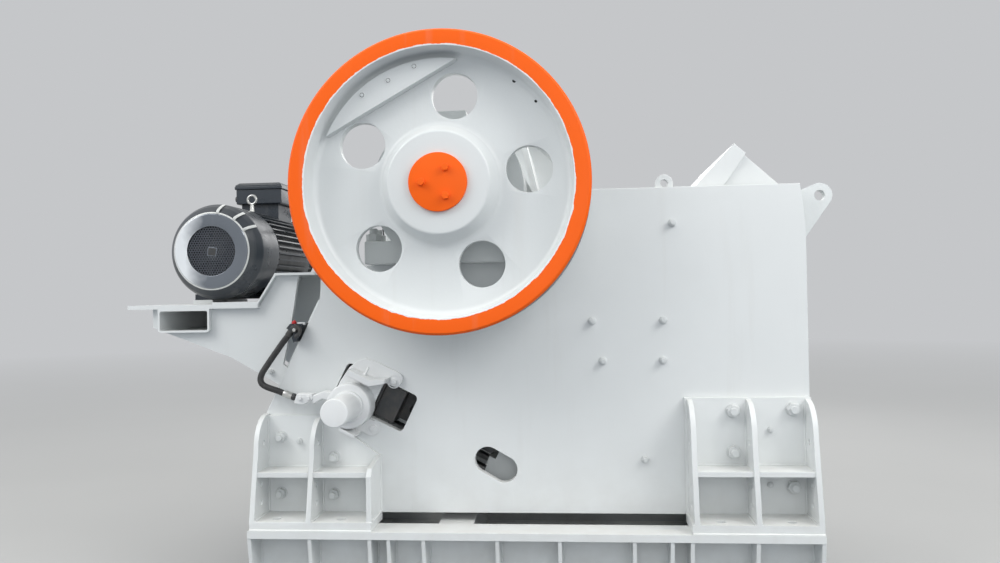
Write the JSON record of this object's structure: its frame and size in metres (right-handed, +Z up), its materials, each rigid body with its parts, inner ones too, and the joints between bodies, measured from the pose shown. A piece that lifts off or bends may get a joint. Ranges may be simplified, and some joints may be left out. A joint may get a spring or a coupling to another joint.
{
  "type": "jaw crusher",
  "caption": "Single-toggle jaw crusher with flywheel, drive sheave, frame-mounted motor and V-belts, on bolted feet and a welded base frame.",
  "frame": {"origin": "on the ground, straight below the eccentric shaft's axis, on the machine's middle plane", "axes": "+Z up, +X towards the fixed jaw and the feed lip, Y along the eccentric shaft with the drive sheave on +Y"},
  "size_m": [4.141, 2.472, 3.133],
  "materials": {
    "white_paint": "semi-gloss pale grey-white paint",
    "cylinder_white": "glossy white paint",
    "orange_paint": "orange enamel",
    "motor_paint": "glossy dark slate paint",
    "manganese_steel": "bare cast manganese steel",
    "machined_steel": "machined steel, oiled",
    "dark_steel": "dark phosphated steel",
    "belt_rubber": "black rubber",
    "hose_rubber": "black braided rubber"
  },
  "bodies": {
    "frame": {"side_plate_near": "white_paint", "side_plate_far": "white_paint", "front_frame": "white_paint", "rear_frame": "white_paint", "feed_lip": "white_paint", "fixed_jaw_die": "manganese_steel", "cheek_plates_near": "manganese_steel", "cheek_plates_far": "manganese_steel", "bearing_housing_near": "white_paint", "bearing_housing_far": "white_paint", "toggle_plate": "dark_steel", "toggle_seat": "dark_steel", "rear_wedge": "dark_steel", "front_wedge": "dark_steel", "cylinder_bracket_near": "cylinder_white", "cylinder_bracket_far": "cylinder_white", "wedge_cylinder_near": "cylinder_white", "wedge_cylinder_far": "cylinder_white", "hydraulic_hose": "hose_rubber", "tension_rods": "machined_steel", "tension_springs": "dark_steel", "foot_rear_near": "white_paint", "foot_rear_far": "white_paint", "foot_front_near": "white_paint", "foot_front_far": "white_paint", "base_beam_near": "white_paint", "base_beam_far": "white_paint", "cross_member_rear": "white_paint", "cross_member_middle": "white_paint", "cross_member_front": "white_paint", "motor_bracket": "white_paint", "motor_body": "motor_paint", "fan_cowl": "motor_paint", "terminal_box": "motor_paint", "v_belts": "belt_rubber"},
    "shaft": {"eccentric_shaft": "machined_steel", "flywheel": "white_paint", "flywheel_weight": "white_paint", "flywheel_cap": "orange_paint", "drive_sheave": "white_paint", "sheave_cap": "orange_paint"},
    "pitman": {"pitman": "white_paint", "barrel_guard": "white_paint", "swing_jaw_die": "manganese_steel"},
    "motor_rotor": {"motor_pulley": "dark_steel"}
  },
  "joints": [
    {"name": "shaft_spin", "type": "hinge", "parent": "frame", "child": "shaft", "pos_m": [0, 0, 2.325], "axis": [0, 1, 0], "continuous": true},
    {"name": "pitman_orbit", "type": "hinge", "parent": "shaft", "child": "pitman", "pos_m": [0, 0, 2.341], "axis": [0, 1, 0], "continuous": true},
    {"name": "motor_spin", "type": "hinge", "parent": "frame", "child": "motor_rotor", "pos_m": [-1.631, 0, 2.044], "axis": [0, 1, 0], "continuous": true}
  ],
  "couplings": [
    {"joint": "pitman_orbit", "follows": "shaft_spin", "ratio": -1},
    {"joint": "motor_spin", "follows": "shaft_spin", "ratio": 4.2667}
  ]
}
